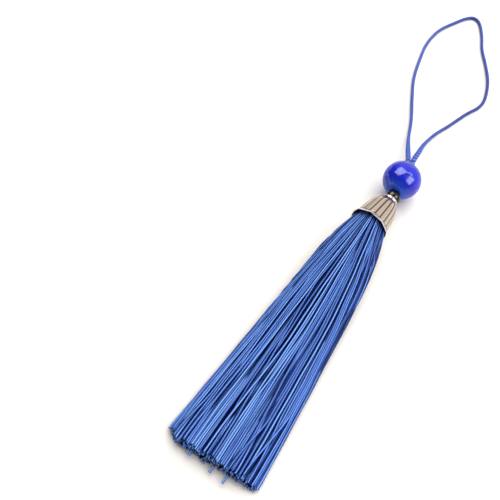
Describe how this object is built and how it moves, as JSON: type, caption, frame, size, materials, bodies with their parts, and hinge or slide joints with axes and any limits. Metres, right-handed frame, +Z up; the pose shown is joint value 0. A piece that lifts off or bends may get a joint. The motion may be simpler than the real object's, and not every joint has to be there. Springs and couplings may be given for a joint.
{
  "type": "tassel with a fluted metal cap, beads and a hanging loop",
  "caption": "Long silky tassel of cut strands with a fluted metal cap, a small spacer bead, a large round bead and a cord loop, lying flat.",
  "frame": {"origin": "on the surface the tassel lies on, in the middle of the small flat under the large bead", "axes": "+X along the tassel from the skirt of strands to the hanging loop, +Y across it, +Z up from the surface it lies on"},
  "size_m": [0.256, 0.048, 0.0165],
  "materials": {
    "yarn": "silky twisted strands",
    "cap_metal": "polished",
    "spacer_glass": "glossy black",
    "bead_stone": "polished, slightly see-through",
    "cord": "braided"
  },
  "bodies": {
    "root": {"strands": "yarn", "cap": "cap_metal", "small_bead": "spacer_glass", "large_bead": "bead_stone", "cord_loop": "cord"}
  },
  "joints": []
}
